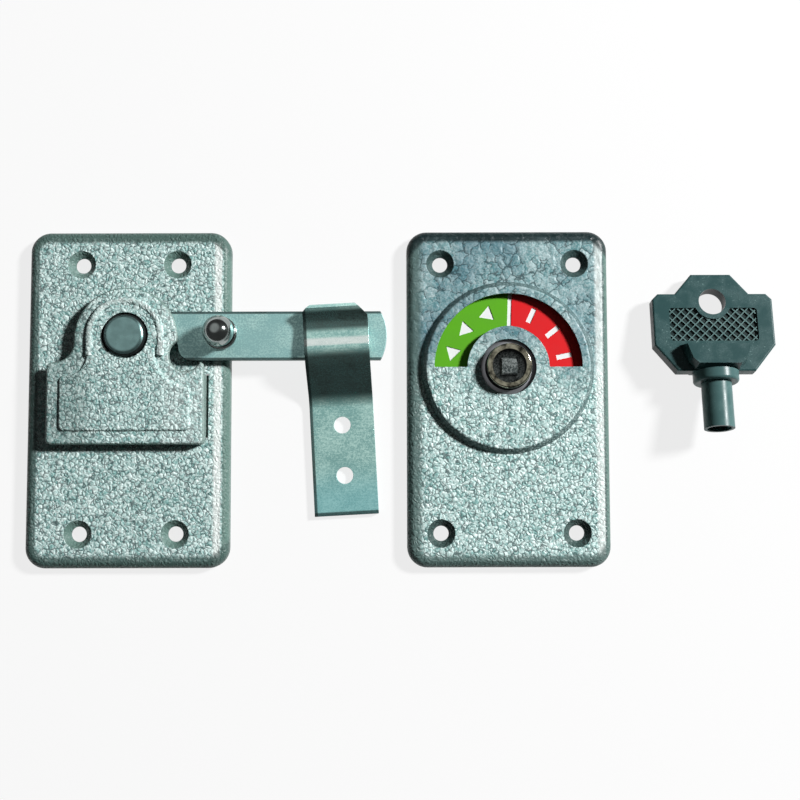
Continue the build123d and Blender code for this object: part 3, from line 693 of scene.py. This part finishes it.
@dataclass(frozen=True)
class PrintedFace(Finish):
    """Smooth coloured print or plastic with a fine grain and faint rub marks."""

    colour: Colour
    rough: float
    patch_size: float = 5.0
    grain_size: float = 0.25
    rub_share: float = 0.25
    rubbed: float = 0.82
    rub_rough: float = 0.12
    specular: float = 0.25
    relief: Span = (0.1, 0.01)

    def paint(self, graph: Graph, shader: Any, effects: Effects) -> None:
        """Feeds the shader's inputs.

        Args:
            graph: The material's graph.
            shader: The shader's inputs.
            effects: The shared node groups.
        """
        place = graph.millimetres()
        patch = graph.group(effects.smudge, Vector=place, Size=self.patch_size)["Patch"]
        grain = graph.group(effects.grain, Vector=place, Size=self.grain_size)
        wear_and_painted_light = graph.math("MULTIPLY", patch, self.rub_share)
        dull = tuple(self.rubbed * value for value in self.colour)
        graph.feed(shader["Base Color"], graph.blend(wear_and_painted_light, self.colour, dull))
        graph.feed(shader["Specular IOR Level"], self.specular)
        graph.feed(shader["Roughness"], graph.math("MULTIPLY_ADD", patch, self.rub_rough, self.rough))
        self.raise_surface(graph, shader, grain["Height"], self.relief)


@dataclass(frozen=True)
class MouldedPlastic(Finish):
    """Dark moulded plastic with a fine spark texture, dust, rubbed specks and painted shade in its hollows.

    The key lies tipped, so its own height and length are measured from its middle at its pitch. Lengths are
    in millimetres and the pitch is in degrees.
    """

    colour: Colour
    dusty: Colour
    middle: Point
    pitch: float
    stripes: tuple[Stripe, ...]
    hollow_shade: Colour = (0.006, 0.014, 0.014)
    # Pale colour of rubbed specks and of the rib crests, where it is also a painted highlight
    wear_and_painted_light: Colour = (0.30, 0.46, 0.44)
    patch_size: float = 4.0
    grain_size: float = 0.35
    fleck_dust: float = 0.45
    even_dust: float = 0.1
    speck_scale: float = 1.7
    speck_span: Span = (0.62, 0.70)
    speck_share: float = 0.35
    bow_span: Span = (-21.6, -21.2)
    hollow_span: Span = (1.8, 1.55)
    hollow_shade_share: float = 0.85
    crest_rise: Span = (1.82, 1.9)
    crest_drop: Span = (2.12, 2.04)
    crest_share: float = 0.22
    stripe_patchiness: Span = (0.8, 1.0)
    specular: float = 0.2
    rough: float = 0.3
    patch_rough: float = 0.12
    relief: Span = (0.3, 0.03)

    def paint(self, graph: Graph, shader: Any, effects: Effects) -> None:
        """Feeds the shader's inputs.

        Args:
            graph: The material's graph.
            shader: The shader's inputs.
            effects: The shared node groups.
        """
        place = graph.millimetres()
        patch = graph.group(effects.smudge, Vector=place, Size=self.patch_size)["Patch"]
        grain = graph.group(effects.grain, Vector=place, Size=self.grain_size)
        dust = graph.math("MULTIPLY_ADD", grain["Fleck"], self.fleck_dust, self.even_dust)
        colour = graph.blend(graph.math("MULTIPLY", patch, dust), self.colour, self.dusty)
        speck = graph.step(graph.noise(place, self.speck_scale)["Fac"], *self.speck_span)
        speck = graph.math("MULTIPLY", graph.math("MULTIPLY", speck, patch), self.speck_share)
        colour = self._shade_hollows(graph, place, graph.blend(speck, colour, self.wear_and_painted_light))
        wear_and_painted_light = graph.between(patch, *self.stripe_patchiness)
        graph.feed(shader["Base Color"], lay_stripes(self.stripes, graph, place, colour, wear_and_painted_light))
        graph.feed(shader["Specular IOR Level"], self.specular)
        graph.feed(shader["Roughness"], graph.math("MULTIPLY_ADD", patch, self.patch_rough, self.rough))
        self.raise_surface(graph, shader, grain["Height"], self.relief)

    def _shade_hollows(self, graph: Graph, place: Any, colour: Any) -> bpy.types.NodeSocket:
        """Paints shade on the sunk grips' floors; rib crests turn pale, partly rubbed, partly painted
        highlight.

        Args:
            graph: The material's graph.
            place: Place on the surface in millimetres.
            colour: The colour below.

        Returns:
            The new colour.
        """
        local = graph.moved(place, tuple(-value for value in self.middle))
        sine, cosine = math.sin(math.radians(self.pitch)), math.cos(math.radians(self.pitch))
        height = graph.along(local, (0.0, sine, cosine))
        bow = graph.step(graph.along(local, (0.0, cosine, -sine)), *self.bow_span)
        deep = graph.step(graph.math("ABSOLUTE", height), *self.hollow_span)
        deep = graph.math("MULTIPLY", graph.math("MULTIPLY", deep, bow), self.hollow_shade_share)
        colour = graph.blend(deep, colour, self.hollow_shade)
        rise, drop = graph.step(height, *self.crest_rise), graph.step(height, *self.crest_drop)
        crest = graph.math("MULTIPLY", rise, drop)
        return graph.blend(graph.math("MULTIPLY", crest, self.crest_share), colour, self.wear_and_painted_light)


class Bench:
    """Makes and finishes pieces with Blender's mesh tools. Lengths in millimetres, angles in degrees."""

    MERGE_DISTANCE = 0.002
    FLAT_ANGLE = 0.6
    BEVEL_ANGLE = 38.0
    BEVEL_SEGMENTS = 2
    SMOOTH_ANGLE = 32.0
    NORMAL_WEIGHT = 50

    @staticmethod
    def clear_selection() -> None:
        """Leaves edit mode and deselects every object."""
        if bpy.context.mode != "OBJECT":
            bpy.ops.object.mode_set(mode="OBJECT")
        bpy.ops.object.select_all(action="DESELECT")

    @staticmethod
    def pick(piece: bpy.types.Object) -> None:
        """Makes one object the only selected and active one.

        Args:
            piece: The object.
        """
        Bench.clear_selection()
        piece.select_set(True)
        bpy.context.view_layer.objects.active = piece

    @staticmethod
    def apply(piece: bpy.types.Object, kind: str, **settings: Any) -> None:
        """Adds one modifier with its settings and applies it.

        Args:
            piece: The object that gets the modifier.
            kind: Blender's name for the modifier.
            **settings: Properties of the modifier.
        """
        Bench.pick(piece)
        modifier = piece.modifiers.new(kind.lower(), kind)
        for name, value in settings.items():
            setattr(modifier, name, value)
        bpy.ops.object.modifier_apply(modifier=modifier.name)

    @staticmethod
    def merge(piece: bpy.types.Object) -> None:
        """Joins a copied node's loose triangles and dissolves the flat edges between them.

        Args:
            piece: The copy.
        """
        Bench.pick(piece)
        if piece.data.has_custom_normals:
            bpy.ops.mesh.customdata_custom_splitnormals_clear()
        bpy.ops.object.mode_set(mode="EDIT")
        bpy.ops.mesh.select_all(action="SELECT")
        bpy.ops.mesh.remove_doubles(threshold=Bench.MERGE_DISTANCE * MM)
        bpy.ops.mesh.dissolve_limited(angle_limit=math.radians(Bench.FLAT_ANGLE))
        bpy.ops.object.mode_set(mode="OBJECT")

    @staticmethod
    def settle(piece: bpy.types.Object) -> None:
        """Bakes the object's place into its mesh and smooths faces that meet at a small angle.

        Args:
            piece: The finished piece.
        """
        Bench.pick(piece)
        bpy.ops.object.transform_apply(location=True, rotation=True, scale=True)
        bpy.ops.object.shade_smooth_by_angle(angle=math.radians(Bench.SMOOTH_ANGLE))
        Bench.apply(piece, "WEIGHTED_NORMAL", keep_sharp=True, weight=Bench.NORMAL_WEIGHT)

    @staticmethod
    def softened(node: str, name: str, width: float) -> bpy.types.Object:
        """Copies a CAD node and rounds its sharp edges.

        Args:
            node: The CAD node's name.
            name: The new piece's name.
            width: Width of the rounding in millimetres.

        Returns:
            The new piece.
        """
        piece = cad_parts[node].copy()
        piece.data = piece.data.copy()
        piece.name = piece.data.name = name
        for key in list(piece.keys()):
            del piece[key]
        piece.parent = None
        bpy.context.scene.collection.objects.link(piece)
        Bench.merge(piece)
        Bench.apply(
            piece,
            "BEVEL",
            width=width * MM,
            segments=Bench.BEVEL_SEGMENTS,
            limit_method="ANGLE",
            angle_limit=math.radians(Bench.BEVEL_ANGLE),
            use_clamp_overlap=False,
            miter_outer="MITER_ARC",
        )
        Bench.settle(piece)
        return piece


@dataclass
class Wardrobe:
    """Holds the materials by name and puts them on pieces."""

    materials: dict[str, bpy.types.Material]

    def dress(self, piece: bpy.types.Object, finish: str) -> None:
        """Puts one named material on all of a piece.

        Args:
            piece: The piece.
            finish: The name of its material.
        """
        piece.data.materials.clear()
        piece.data.materials.append(self.materials[finish])
        for face in piece.data.polygons:
            face.material_index = 0

    def dress_node(self, node: str, finish: str) -> None:
        """Puts one named material on a CAD node.

        Args:
            node: The CAD node's name.
            finish: The name of its material.
        """
        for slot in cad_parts[node].material_slots:
            slot.material = self.materials[finish]
        LOG.info("node %s in %s", node, finish)

    def place(self, piece: bpy.types.Object, node: str, body: Body, slot: Slot, finish: str) -> None:
        """Dresses a piece, lets it ride on its body and stand for its CAD node.

        Args:
            piece: The finished piece.
            node: The CAD node that it stands for.
            body: The body that carries it.
            slot: Not used.
            finish: The name of its material.
        """
        self.dress(piece, finish)
        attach(piece, body.value)
        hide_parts(node)
        LOG.info("piece %s on %s", piece.name, body.value)


@dataclass
class InnerUnit:
    """Plate, cover, arm, ball knob and stud. Sizes in millimetres."""

    edge: float = 0.12
    pressing_edge: float = 0.2

    def build(self, wardrobe: Wardrobe) -> None:
        """Makes the finer pieces and dresses the rest.

        Args:
            wardrobe: The materials.
        """
        plate = Bench.softened("inner_plate", "inner_base", self.edge)
        wardrobe.place(plate, "inner_plate", Body.INNER, Slot.PAINT, "enamel_fine")
        cover = Bench.softened("latch_cover", "pressed_cover", self.pressing_edge)
        wardrobe.place(cover, "latch_cover", Body.INNER, Slot.PAINT, "enamel_cover")
        arm = Bench.softened("latch_arm", "swing_arm", self.edge)
        wardrobe.place(arm, "latch_arm", Body.ARM, Slot.ZINC, "zinc_long")
        for node, finish in (
            ("arm_knob", "nickel_ball"),
            ("pivot_stud", "nickel_stud"),
            ("thrust_washer", "zinc_round"),
            ("retaining_washer", "zinc_round"),
            ("retaining_ring", FRAME_STEEL),
            ("detent_spring", FRAME_STEEL),
            ("spring_posts", "zinc_round"),
        ):
            wardrobe.dress_node(node, finish)


@dataclass
class Keeper:
    """The bent strip. Sizes in millimetres."""

    edge: float = 0.15

    def build(self, wardrobe: Wardrobe) -> None:
        """Makes the finer strip."""
        strip = Bench.softened("keeper_hook", "bent_strip", self.edge)
        wardrobe.place(strip, "keeper_hook", Body.KEEPER, Slot.STRIP, "zinc_strip")


@dataclass
class OuterUnit:
    """Plate, spindle and disc. Sizes in millimetres."""

    edge: float = 0.12

    def build(self, wardrobe: Wardrobe) -> None:
        """Makes the finer plate and dresses the rest.

        Args:
            wardrobe: The materials.
        """
        plate = Bench.softened("outer_plate", "outer_base", self.edge)
        wardrobe.place(plate, "outer_plate", Body.OUTER, Slot.PAINT, "enamel_coarse")
        for node, finish in (
            ("spindle_tube", "nickel_tube"),
            ("drive_peg", "peg_steel"),
            ("indicator_disc", "white_disc"),
            ("green_label", "green_face"),
            ("red_label", "red_face"),
            ("friction_washer", FRAME_STEEL),
            ("rear_strap", "zinc_strap"),
        ):
            wardrobe.dress_node(node, finish)


@dataclass
class EmergencyKey:
    """The moulded key."""

    finish: str = "key_plastic"

    def build(self, wardrobe: Wardrobe) -> None:
        """Dresses the key."""
        wardrobe.dress_node("emergency_key", self.finish)


@dataclass(frozen=True)
class Lamp:
    """Lengths in metres, angles in degrees."""

    name: str
    azimuth: float
    height: float
    distance: float
    size: float
    power: float

    def build(self) -> None:
        """Adds the lamp to the scene."""
        data = bpy.data.lights.new(self.name, "AREA")
        data.shape = "DISK"
        data.size = self.size
        data.energy = self.power
        lamp = bpy.data.objects.new(self.name, data)
        turn, lift = math.radians(self.azimuth), math.radians(self.height)
        way = Vector((math.cos(lift) * math.cos(turn), math.cos(lift) * math.sin(turn), math.sin(lift)))
        lamp.location = way * self.distance
        lamp.rotation_euler = way.to_track_quat("Z", "Y").to_euler()
        bpy.context.scene.collection.objects.link(lamp)


@dataclass
class Studio:
    """Floor, backdrop light, lamps and camera. Lengths in metres, angles in degrees."""

    camera_distance: float = 0.35
    camera_tilt: float = 4.2
    camera_roll: float = -0.15
    camera_drop: float = 0.0003
    camera_clip: float = 0.01
    lens: float = 52.5
    sensor: float = 36.0
    key_lamp: Lamp = Lamp("key_lamp", azimuth=25.0, height=38.0, distance=1.3, size=0.2, power=27.5)
    fill_lamp: Lamp = Lamp("fill_lamp", azimuth=120.0, height=60.0, distance=1.0, size=0.8, power=0.06)
    world_fill: float = 0.015
    ceiling_shine: float = 0.5
    ceiling_way: Point = (-0.30, 0.28, 0.912)
    ceiling_span: Span = (0.74, 0.93)
    wall_shine: float = 0.07
    wall_span: Span = (0.0, 0.05)
    floor_size: float = 6.0
    floor_drop: float = 0.02 * MM
    floor_white: float = 0.82
    floor_grey: Colour = (0.8, 0.8, 0.8)

    def build(self) -> None:
        self._floor()
        self._world()
        self.key_lamp.build()
        self.fill_lamp.build()
        self._camera()
        bpy.context.scene.view_settings.view_transform = "Standard"

    def _floor(self) -> None:
        """Makes the pale floor, nearly white to the camera and in reflections."""
        Bench.clear_selection()
        bpy.ops.mesh.primitive_plane_add(size=self.floor_size, location=(0, 0, -self.floor_drop))
        floor = bpy.context.object
        floor.name = "floor"
        material = bpy.data.materials.new("pale_floor")
        material.use_nodes = True
        material.node_tree.nodes.clear()
        graph = Graph(material.node_tree)
        rays = graph.node("ShaderNodeLightPath").outputs
        seen = graph.math("MAXIMUM", rays["Is Camera Ray"], rays["Is Glossy Ray"])
        seen = graph.math("MAXIMUM", seen, rays["Is Transmission Ray"])
        share = graph.math("MULTIPLY", seen, self.floor_white)
        matt = graph.node("ShaderNodeBsdfDiffuse", {"Color": self.floor_grey})
        white = graph.node("ShaderNodeEmission", {"Color": WHITE, "Strength": 1.0})
        mix = graph.node("ShaderNodeMixShader", {0: share, 1: matt.outputs[0], 2: white.outputs[0]})
        graph.node("ShaderNodeOutputMaterial", {"Surface": mix.outputs[0]})
        floor.data.materials.append(material)

    def _world(self) -> None:
        """Makes a white backdrop with dark walls and a grey ceiling in reflections, and a dim fill."""
        world = bpy.data.worlds.new("studio")
        bpy.context.scene.world = world
        world.use_nodes = True
        world.node_tree.nodes.clear()
        graph = Graph(world.node_tree)
        rays = graph.node("ShaderNodeLightPath").outputs
        way = graph.node("ShaderNodeTexCoord").outputs["Generated"]
        low = graph.step(graph.part(way, "Z"), *self.wall_span)
        room = graph.between(low, 1.0, self.wall_shine)
        above = graph.step(graph.along(way, self.ceiling_way), *self.ceiling_span)
        room = graph.between(above, room, self.ceiling_shine)
        fill = graph.between(rays["Is Glossy Ray"], self.world_fill, 0.0)
        shine = graph.math("MULTIPLY_ADD", rays["Is Glossy Ray"], room, fill)
        clear = graph.math("MAXIMUM", rays["Is Camera Ray"], rays["Is Transmission Ray"])
        strength = graph.math("MAXIMUM", shine, clear)
        back = graph.node("ShaderNodeBackground", {"Color": WHITE, "Strength": strength})
        graph.node("ShaderNodeOutputWorld", {"Surface": back.outputs[0]})

    def _camera(self) -> None:
        """Sets the camera nearly straight above, leaning to the lower edge."""
        tilt, roll = math.radians(self.camera_tilt), math.radians(self.camera_roll)
        back = Vector((0.0, -math.sin(tilt), math.cos(tilt)))
        right = Vector((1.0, 0.0, 0.0))
        up = back.cross(right)
        side = right * math.cos(roll) + up * math.sin(roll)
        top = up * math.cos(roll) - right * math.sin(roll)
        data = bpy.data.cameras.new("camera")
        data.lens = self.lens
        data.sensor_width = self.sensor
        data.clip_start = self.camera_clip
        camera = bpy.data.objects.new("camera", data)
        turn = Matrix((side, top, back)).transposed().to_4x4()
        spot = back * self.camera_distance - Vector((0.0, self.camera_drop, 0.0))
        camera.matrix_world = Matrix.Translation(spot) @ turn
        bpy.context.scene.collection.objects.link(camera)
        bpy.context.scene.camera = camera


def enamels() -> tuple[Finish, ...]:
    """Works out the enamel of both plates and of the cover.

    Returns:
        The three finishes.
    """
    # Painted shade in bands along each plate's edges, darkest along the top, and a painted highlight inside
    # the right edge
    inner = PlateEdges(
        middle=-80.5,
        left=Band(3.8, 2.8, 0.92),
        right=Band(2.2, 1.5, 0.9),
        top_shade=(0.07, 0.125, 0.11),
        shade=SHADE,
        highlight_share=0.8,
    )
    outer = PlateEdges(
        middle=32.0,
        left=Band(5.6, 3.0, 0.92),
        right=Band(1.6, 0.9, 0.9),
        top_shade=(0.006, 0.018, 0.019),
        shade=(0.085, 0.14, 0.13),
        highlight_share=0.6,
    )
    # Painted shade towards the cover's left, faint painted highlight on its right, painted highlight on the
    # ridge's crest
    cover = (
        Stripe(WEST, 88.0, 94.0, SHADE, share=0.4),
        Stripe(EAST, -71.5, -67.5, PAINTED_HIGHLIGHT, share=0.12),
        Stripe(UPWARD, 10.3, 10.52, PAINTED_HIGHLIGHT, share=0.3),
    )
    return (
        HammeredEnamel("enamel_fine", rim_top=4.995, rim_foot=4.86, stripes=inner.stripes()),
        HammeredEnamel(
            "enamel_cover",
            rim_top=9.295,
            rim_foot=9.05,
            stripes=cover,
            # Faint painted shade on the slope of the ridge
            slope_foot=9.3,
            slope_top=10.05,
            slope_share=0.2,
        ),
        HammeredEnamel(
            "enamel_coarse",
            rim_top=4.995,
            rim_foot=4.86,
            stripes=outer.stripes(),
            # Painted shade on the boss's slope, and deeper painted shade on the rims and in the sinks
            slope_foot=5.02,
            slope_top=7.45,
            slope_share=0.85,
            slope=(0.05, 0.09, 0.09),
            rim_and_sink_shade=(0.03, 0.06, 0.055),
            coarse_from=4.0,
            coarse_to=28.0,
        ),
    )


def platings() -> tuple[Finish, ...]:
    """Works out the plated and bare steels.

    Returns:
        The five finishes.
    """
    # Painted shadow: dark lines along the arm's upper and lower edges
    arm = (Stripe(NORTH, 24.5, 24.85), Stripe(SOUTH, -11.9, -11.55))
    # Bluer towards the foot's end; painted dark reflections on the wall and the lip; a painted highlight on
    # the crown
    strip = (
        Stripe(KEEPER_FOOT, 16.0, 30.0, (0.23, 0.62, 0.66), share=0.6),
        Stripe(KEEPER_HEAD, -0.9, 2.7, end=12.4, gone=16.2),
        Stripe(KEEPER_HEAD, 15.7, 16.4, PAINTED_HIGHLIGHT, share=0.85, end=17.7, gone=18.7),
        Stripe(KEEPER_HEAD, 19.6, 21.6, end=25.6, gone=26.6),
        # Painted shadow lines along the foot's lower and left edges
        Stripe(KEEPER_FOOT, 32.4, 32.9),
        Stripe(KEEPER_LEFT, 26.0, 26.4),
    )
    return (
        PlatedSteel("zinc_long", ZINC, DULL_ZINC, (0.12, 3.0, 3.0), (0.32, 0.5), fleck=0.75, stripes=arm),
        PlatedSteel("zinc_round", ZINC, DULL_ZINC, (1.0, 1.0, 1.0), (0.3, 0.5)),
        PlatedSteel("zinc_strap", ZINC, DULL_ZINC, (3.0, 0.12, 3.0), (0.32, 0.5)),
        PlatedSteel(
            "zinc_strip",
            bright=(0.60, 0.90, 0.82),
            tarnish=(0.26, 0.50, 0.47),
            stretch=(0.3, 3.0, 3.0),
            rough=(0.12, 0.28),
            fleck=0.6,
            metal=0.6,
            stripes=strip,
        ),
        PlatedSteel(
            "peg_steel",
            bright=(0.34, 0.38, 0.37),
            tarnish=(0.02, 0.03, 0.03),
            stretch=(2.0, 2.0, 0.3),
            rough=(0.3, 0.5),
            fleck=0.6,
        ),
    )


def nickels() -> tuple[Finish, ...]:
    """Works out the polished pieces.

    Returns:
        The three finishes.
    """
    stud: Colour = (0.28, 0.47, 0.46)
    tube: Colour = (0.50, 0.48, 0.36)
    return (
        PolishedNickel("nickel_ball", bright=(0.34, 0.38, 0.37)),
        # Painted shade low down: the stud head's rounded rim and the tube's wall under its top
        PolishedNickel("nickel_stud", stud, dark_from=11.2, dark_to=11.45, rough=0.26),
        PolishedNickel("nickel_tube", tube, dark_from=10.3, dark_to=10.8, smear=2.0, clean=0.06),
    )


def plastics() -> tuple[Finish, ...]:
    """Works out the disc, its two printed faces and the key.

    Returns:
        The four finishes.
    """
    return (
        PrintedFace("white_disc", (0.82, 0.84, 0.84), rough=0.3),
        PrintedFace("green_face", (0.10, 0.385, 0.010), rough=0.45),
        PrintedFace("red_face", (0.68, 0.008, 0.012), rough=0.45),
        MouldedPlastic(
            "key_plastic",
            colour=(0.022, 0.062, 0.063),
            dusty=(0.06, 0.12, 0.12),
            middle=(92.7, 27.9, 3.776),
            pitch=10.857,
            stripes=(Stripe(KEY_SHANK, -5.6, -5.0, (0.09, 0.18, 0.175), share=0.55),),
        ),
    )


def make_wardrobe() -> Wardrobe:
    """Makes the materials of every finish, each once, and takes the frame's own spring steel.

    Returns:
        The wardrobe that holds them.
    """
    effects = Effects()
    finishes = (*enamels(), *platings(), *nickels(), *plastics())
    materials = {finish.name: finish.build(effects) for finish in finishes}
    # The frame's plain material stays on the spring, the ring and the friction washer
    materials[FRAME_STEEL] = bpy.data.materials[FRAME_STEEL]
    return Wardrobe(materials)


def main() -> None:
    logging.basicConfig(level=logging.INFO, format="%(name)s %(message)s")
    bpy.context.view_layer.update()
    Studio().build()
    wardrobe = make_wardrobe()
    for assembly in (InnerUnit(), Keeper(), OuterUnit(), EmergencyKey()):
        assembly.build(wardrobe)
        LOG.info("%s done", type(assembly).__name__)


if __name__ == "__main__":
    main()
